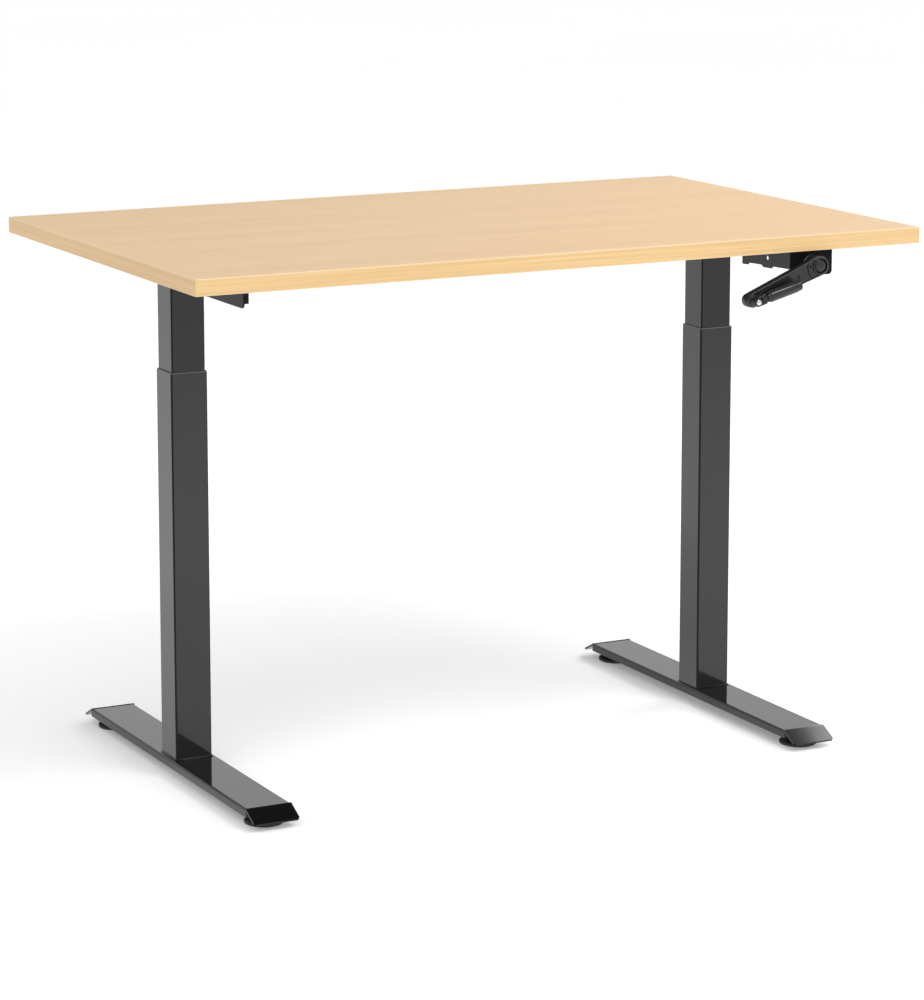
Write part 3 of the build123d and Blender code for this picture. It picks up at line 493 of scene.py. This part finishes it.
MATERIALS = {
    "desktop_laminate": laminate(),
    "edge_band": band(),
    # The frame paint reflects less below the feet's tops, as painted shade.
    "frame_paint": powder_coat("frame_paint", (0.0045, 0.0045, 0.0048), 0.07, painted_shade_below=FOOT_TOP),
    "inner_column_paint": powder_coat("inner_column_paint", (0.0040, 0.0040, 0.0043), 0.08, 1.43),
    "zinc_steel": metal("zinc_steel", (0.60, 0.60, 0.58), 0.32, (300.0, 300.0, 300.0)),
    "bright_pin": metal("bright_pin", (0.78, 0.78, 0.77), 0.08, (400.0, 400.0, 400.0), wear=0.8),
    "guide_plastic": plastic("guide_plastic", (0.120, 0.120, 0.122), 0.38),
    "bare_steel": metal("bare_steel", (0.40, 0.40, 0.41), 0.42, (180.0, 180.0, 20.0)),
    "shaft_steel": metal("shaft_steel", (0.52, 0.52, 0.53), 0.25, (60.0, 500.0, 500.0)),
    "gear_steel": metal("gear_steel", (0.34, 0.34, 0.35), 0.40, (350.0, 350.0, 350.0), 0.00003),
    "bearing_steel": metal("bearing_steel", (0.64, 0.64, 0.65), 0.18, (90.0, 90.0, 900.0)),
    "nut_brass": metal("nut_brass", (0.66, 0.47, 0.20), 0.30, (90.0, 90.0, 900.0)),
    "housing_alloy": metal("housing_alloy", (0.44, 0.45, 0.46), 0.50, (500.0, 500.0, 500.0), 0.00006),
    "crank_plastic": plastic("crank_plastic", (0.013, 0.013, 0.014), 0.30, 1400.0, 0.000010),
    "grip_plastic": plastic("grip_plastic", (0.012, 0.012, 0.013), 0.22, 1400.0, 0.000006),
    "pad_rubber": plastic("pad_rubber", (0.022, 0.022, 0.022), 0.55, 700.0, 0.00004),
}
SIDE_BRACKET_PAINT = satin_black("bracket_paint", BRACKET_COLOUR, 1.22)
BRACKET_PAINTS = {
    # The crank bracket's front face gets painted shade.
    "crank_bracket": satin_black(
        "crank_bracket_paint", BRACKET_COLOUR, painted_shade_front=CRANK_BRACKET_FRONT
    ),
    "left_side_bracket": SIDE_BRACKET_PAINT,
    "right_side_bracket": SIDE_BRACKET_PAINT,
}


def dress(obj, slot):
    """Gives a piece the material of one of the record's slots."""
    obj.data.materials.clear()
    obj.data.materials.append(MATERIALS[slot])
    return obj


for part in frame["record"]["subparts"]:
    for place in NODES[part["node"]].material_slots:
        place.material = MATERIALS[part["material_slot"]]

for name, paint in BRACKET_PAINTS.items():
    for place in NODES[name].material_slots:
        place.material = paint


# Crank -----------------------------------------------------------------------------------


def hub_at(y):
    """The hub's centre at depth y."""
    return Vector((HUB.x, y, HUB.z))


def arm_end_at(y):
    """The centre of the arm's far end at depth y."""
    return Vector((ARM_END.x, y, ARM_END.z))


def on_arm(along, y, across=0.0):
    """A point at this distance from the hub's centre along the arm's middle line."""
    at = hub_at(0) + ARM_LINE * along + ARM_ACROSS * across
    return Vector((at.x, y, at.z))


def arm_ring(inset, y):
    """The arm's outline, moved in by inset, at depth y."""
    return capsule(on_arm(0, y), arm_end_at(y), HUB_RADIUS - inset, END_RADIUS - inset, y)


def trough_ring(inset, y):
    """The outline of the trough that the folded grip lies over."""
    start, end = on_arm(TROUGH_START, y), on_arm(TROUGH_END, y)
    return capsule(start, end, TROUGH_START_RADIUS - inset, TROUGH_END_RADIUS - inset, y)


def slit_cutter(front, back, steps=20):
    """A closed curved bar about the hub, to cut the arm's slit with."""
    bm = bmesh.new()
    rings = []
    for i in range(steps + 1):
        turn = -SLIT_SPREAD + 2 * SLIT_SPREAD * i / steps
        out = ARM_LINE * math.cos(turn) + ARM_ACROSS * math.sin(turn)
        near = hub_at(0) + out * (SLIT_RADIUS - SLIT_WIDTH / 2)
        far = hub_at(0) + out * (SLIT_RADIUS + SLIT_WIDTH / 2)
        corners = ((near, front), (far, front), (far, back), (near, back))
        rings.append([Vector((p.x, y, p.z)) for p, y in corners])
    bridge(bm, rings)
    return finish_mesh("slot_cutter", bm)


def arm_moulding():
    """Moulded arm: rounded edges, a raised rim, a sunken panel, a trough, a slit and a well."""
    # (inset, depth) in millimetres, with depth measured toward the back from the back face in
    # back_steps and from the front face in the others
    back_steps = ((3.4, -0.9), (3.0, 0.0), (1.3, 0.0), (0.4, -0.35), (0.0, -1.3))
    front_steps = (
        (0.0, 2.2), (0.22, 1.1), (0.75, 0.4), (1.5, 0.06), (2.0, 0.0), (2.5, 0.05), (2.85, 0.5),
        (3.0, 1.1), (3.3, 1.25),
    )
    trough_steps = ((-0.2, 1.25), (0.2, 1.4), (0.9, 2.2), (2.2, 3.1), (4.5, 3.5))
    rings = [arm_ring(inset * MM, ARM_BACK + depth * MM) for inset, depth in back_steps]
    rings += [arm_ring(inset * MM, ARM_FRONT + depth * MM) for inset, depth in front_steps]
    rings += [trough_ring(inset * MM, ARM_FRONT + depth * MM) for inset, depth in trough_steps]
    bm = bmesh.new()
    bridge(bm, rings)
    arm = finish_mesh("crank_arm_moulding", bm)

    slit = slit_cutter(ARM_FRONT - 0.002, ARM_FRONT + SLIT_DEPTH)
    pocket = bmesh.new()
    turn = Matrix((ARM_LINE, Vector((0, 1, 0)), ARM_ACROSS)).transposed().to_4x4()
    place = Matrix.Translation(on_arm(POCKET_ALONG, ARM_FRONT + 0.001, POCKET_ACROSS)) @ turn
    rounded_box(pocket, POCKET_SIZE, place, 0.0003)
    well = bmesh.new()
    well_profile = [(0, WELL_RADIUS), (CUTTER_SPARE, WELL_RADIUS)]
    lathe(well, hub_at(ARM_FRONT + WELL_DEPTH), TOWARD_USER, well_profile)
    hole = bmesh.new()
    hole_profile = [(0, RIVET_HOLE_RADIUS), (0.02, RIVET_HOLE_RADIUS)]
    lathe(hole, arm_end_at(ARM_BACK + 0.001), TOWARD_USER, hole_profile, 40)
    named = (("pocket_cutter", pocket), ("well_cutter", well), ("hole_cutter", hole))
    cut(arm, slit, *(finish_mesh(name, bm) for name, bm in named))
    return arm


def hub_ring():
    """Raised ring round the well in the arm's hub."""
    bm = bmesh.new()
    lathe_ring(bm, hub_at(ARM_FRONT), [
        (WELL_RADIUS, -0.0018), (WELL_RADIUS, 0.0004), (0.0116, 0.0008), (0.0128, 0.0008),
        (0.0132, 0.0004), (0.0133, -0.0018),
    ])
    return finish_mesh("crank_hub_ring", bm)


def hub_sleeve():
    """Sleeve behind the hub, with a collar at the arm and a bore for the crank's shaft."""
    collar = ARM_BACK - COLLAR_SUNK
    length = SLEEVE_BACK - collar
    bm = bmesh.new()
    lathe_ring(bm, hub_at(collar), [
        (SLEEVE_BORE, 0.0), (SLEEVE_BORE, -length), (SLEEVE_RADIUS - 0.0006, -length),
        (SLEEVE_RADIUS, -length + 0.0006), (SLEEVE_RADIUS, -COLLAR_LENGTH),
        (COLLAR_RADIUS - 0.0008, -COLLAR_LENGTH), (COLLAR_RADIUS, -COLLAR_LENGTH + 0.0008),
        (COLLAR_RADIUS, 0.0),
    ])
    return finish_mesh("crank_hub_sleeve", bm)


def crank_arm():
    """The arm with the ring and the sleeve at its hub."""
    arm = arm_moulding()
    for piece in (arm, hub_ring(), hub_sleeve()):
        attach(dress(piece, "crank_plastic"), "crank")
    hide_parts("crank_arm")


def hub_cap():
    """Domed cap with a fine groove near its edge."""
    low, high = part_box("hub_cap")
    centre = (low + high) / 2
    depth = high.y - low.y
    # (distance behind the dome's crown, radius)
    dome = (
        (0.0038, 0.0109), (0.0034, 0.0106), (0.0033, 0.0099), (0.0032, 0.0097), (0.0025, 0.0094),
        (0.0018, 0.0085), (0.0011, 0.0070), (0.0006, 0.0054), (0.00025, 0.0036), (0.00006, 0.0018),
        (0.0, 0.0005),
    )
    profile = [(0.0, 0.0104), (0.0003, 0.0108)] + [(depth - behind, r) for behind, r in dome]
    bm = bmesh.new()
    lathe(bm, Vector((centre.x, high.y, centre.z)), TOWARD_USER, profile, 72)
    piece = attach(dress(finish_mesh("hub_cap_dome", bm, 50.0), "crank_plastic"), "crank")
    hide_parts("hub_cap")


def grip_direction():
    """Along the folded grip, from the swivel to its free end."""
    along = FOLD_AXIS.cross(Vector((0, 1, 0)))
    return along if along.x > 0 else -along


def grip_block(bm, size, centre, edge):
    """A rounded block whose length runs along the folded grip and whose width is the fold axis."""
    axes = Matrix((grip_direction(), Vector((0, 1, 0)), FOLD_AXIS)).transposed().to_4x4()
    rounded_box(bm, size, Matrix.Translation(centre) @ axes, edge)


def swivel():
    """Turntable on the arm's end: a stepped disc with a lip round the rivet, and the two ears."""
    low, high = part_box("swivel_base")
    along = grip_direction()
    reach = high.y - low.y
    bm = bmesh.new()
    lathe(bm, arm_end_at(high.y), TOWARD_USER, [
        (0, 0.0094), (0.0004, 0.0099), (0.0009, 0.0100), (0.0030, 0.0100), (0.0035, 0.0098),
        (0.0037, 0.0093), (0.0039, 0.0076), (0.0044, 0.0070), (reach - 0.0009, 0.0067),
        (reach - 0.0003, 0.0064), (reach, 0.0058), (reach + 0.0006, 0.0054),
        (reach + 0.0008, 0.0051), (reach + 0.0008, 0.0049), (reach + 0.0004, 0.0047),
        (reach - 0.0002, 0.0046),
    ], 72)
    disc = finish_mesh("swivel_turntable", bm)
    bm = bmesh.new()
    ear_size = (EAR_REACH, 2 * EAR_RADIUS, EAR_THICK)
    for side in (-1, 1):
        middle = FOLD_PIN + FOLD_AXIS * (side * EAR_OFFSET)
        grip_block(bm, ear_size, middle - along * (EAR_REACH / 2), EAR_BEVEL)
        bar(bm, middle, FOLD_AXIS, EAR_THICK, EAR_RADIUS, 48, EAR_BEVEL)
    ears = finish_mesh("swivel_ears", bm)
    for piece in (disc, ears):
        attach(dress(piece, "crank_plastic"), "grip_swivel")
    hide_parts("swivel_base")


def pins():
    """Rivet through the arm's end with a domed bright head, and the pin that the grip folds on."""
    low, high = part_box("swivel_pins")
    length = high.y - low.y
    # (distance behind the head's crown, radius)
    head = (
        (0.0021, 0.0030), (0.0020, 0.0043), (0.0015, 0.0043), (0.0010, 0.0039), (0.0006, 0.0032),
        (0.0003, 0.0023), (0.0001, 0.0013), (0.0, 0.0004),
    )
    profile = [(0, 0.0044), (0.0004, 0.0050), (0.0013, 0.0050), (0.0015, 0.0030)]
    profile += [(length - behind, radius) for behind, radius in head]
    bm = bmesh.new()
    lathe(bm, arm_end_at(high.y), TOWARD_USER, profile, 64)
    rivet = finish_mesh("swivel_rivet_domed", bm, 50.0)
    bm = bmesh.new()
    bar(bm, FOLD_PIN, FOLD_AXIS, PIN_LENGTH, PIN_RADIUS, 40)
    pin = finish_mesh("fold_pin_bar", bm)
    for piece in (rivet, pin):
        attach(dress(piece, "bright_pin"), "grip_swivel")
    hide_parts("swivel_pins")


def grip():
    """Turned grip with its tongue, a conical shoulder, a barrel and a stepped end."""
    along = grip_direction()
    r, n = GRIP_RADIUS, GRIP_LENGTH
    bm = bmesh.new()
    lathe(bm, FOLD_PIN + along * GRIP_START, along, [
        (0.0, 0.0062), (0.0004, 0.0069), (0.0012, 0.0072), (0.0033, 0.0073), (0.0037, 0.0077),
        (0.0043, 0.0084), (0.0054, 0.0089), (0.0070, r), (0.0300, r), (n - 0.0094, r),
        (n - 0.0086, r - 0.0002), (n - 0.0080, r - 0.0009), (n - 0.0028, r - 0.0009),
        (n - 0.0016, r - 0.0013), (n - 0.0006, r - 0.0024), (n - 0.0001, r - 0.0040), (n, 0.0020),
    ], 72)
    tongue = (GRIP_START + TONGUE_SUNK, TONGUE_HEIGHT, TONGUE_WIDTH)
    grip_block(bm, tongue, FOLD_PIN + along * (GRIP_START / 2 + TONGUE_SUNK / 2), CHAMFER)
    body = finish_mesh("grip_barrel", bm)
    eye = bmesh.new()
    bar(eye, FOLD_PIN, FOLD_AXIS, KNUCKLE_WIDTH, KNUCKLE_RADIUS, 48)
    knuckle = finish_mesh("grip_knuckle", eye)
    for piece in (body, knuckle):
        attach(dress(piece, "grip_plastic"), "grip")
    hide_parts("grip")


crank_arm()
hub_cap()
swivel()
pins()
grip()


# Columns ---------------------------------------------------------------------------------


def column_seam(side):
    """Fine painted seam round the foot of a fixed column."""
    low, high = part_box(side + "_outer_column")
    bm = bmesh.new()
    size = (high.x - low.x + 2 * SEAM, high.y - low.y + 2 * SEAM, 2 * SEAM)
    middle = Vector(((low.x + high.x) / 2, (low.y + high.y) / 2, low.z + SEAM))
    rounded_box(bm, size, Matrix.Translation(middle), SEAM * 0.9)
    seam = dress(finish_mesh(side + "_column_seam", bm), "frame_paint")
    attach(seam, "base")


column_seam("left")
column_seam("right")


# Stage -----------------------------------------------------------------------------------


def floor():
    """A pale matt floor with a little light of its own, wide enough to fill every view."""
    bm = bmesh.new()
    bmesh.ops.create_grid(bm, x_segments=8, y_segments=8, size=FLOOR_SIZE / 2)
    obj = finish_mesh("studio_floor", bm)
    s = Shader("studio_floor", ior=1.3)
    tone = s.noise(0.6, detail=2.0)
    shade = s.mix(tone, FLOOR_DARK, FLOOR_PALE)
    s.surface.inputs["Emission Color"].default_value = WHITE
    s.surface.inputs["Emission Strength"].default_value = FLOOR_GLOW
    obj.data.materials.append(s.paint(shade, s.spread(tone, 0.3, 0.7, 0.85, 0.95)))


def world():
    """Bright near the horizon and darker overhead, like a room with a white sweep."""
    surroundings = bpy.data.worlds.new("studio")
    bpy.context.scene.world = surroundings
    surroundings.use_nodes = True
    tree = surroundings.node_tree
    tree.nodes.clear()
    place = tree.nodes.new("ShaderNodeTexCoord").outputs["Generated"]
    split = tree.nodes.new("ShaderNodeSeparateXYZ")
    tree.links.new(place, split.inputs[0])
    fall = tree.nodes.new("ShaderNodeMapRange")
    fall.interpolation_type = "SMOOTHSTEP"
    set_range(fall, *WORLD_EDGE, WORLD_BRIGHT, WORLD_ZENITH)
    tree.links.new(split.outputs["Z"], fall.inputs["Value"])
    light = tree.nodes.new("ShaderNodeBackground")
    output = tree.nodes.new("ShaderNodeOutputWorld")
    tree.links.new(fall.outputs["Result"], light.inputs["Strength"])
    tree.links.new(light.outputs[0], output.inputs["Surface"])


def key_light():
    """A very soft overhead key from the front left, left out of reflections."""
    data = bpy.data.lights.new("key", "SUN")
    data.energy = KEY_STRENGTH
    data.angle = math.radians(KEY_SOFTNESS)
    data.color = KEY_COLOUR
    obj = bpy.data.objects.new("key", data)
    obj.rotation_euler = [math.radians(turn) for turn in KEY_TILT]
    obj.visible_glossy = False
    bpy.context.scene.collection.objects.link(obj)


def softbox(name, place, target, size, brightness):
    """A rectangular lamp that faces a point; brightness is the light that its face shows."""
    data = bpy.data.lights.new(name, "AREA")
    data.shape = "RECTANGLE"
    data.size, data.size_y = size
    data.energy = brightness * math.pi * size[0] * size[1]
    obj = bpy.data.objects.new(name, data)
    obj.location = place
    obj.rotation_euler = (Vector(target) - Vector(place)).to_track_quat("-Z", "Y").to_euler()
    bpy.context.scene.collection.objects.link(obj)


def camera():
    """Long lens from the front left, a little above the desktop."""
    data = bpy.data.cameras.new("camera")
    data.lens = CAMERA_LENS
    data.shift_y = CAMERA_SHIFT
    obj = bpy.data.objects.new("camera", data)
    obj.location = CAMERA_PLACE
    obj.rotation_euler = (math.radians(90 - CAMERA_DOWN), 0, math.radians(-CAMERA_TURN))
    bpy.context.scene.collection.objects.link(obj)
    bpy.context.scene.camera = obj


floor()
world()
key_light()
softbox("side_softbox", **SIDE_SOFTBOX)
softbox("front_softbox", **FRONT_SOFTBOX)
camera()
bpy.context.scene.view_settings.view_transform = "Standard"
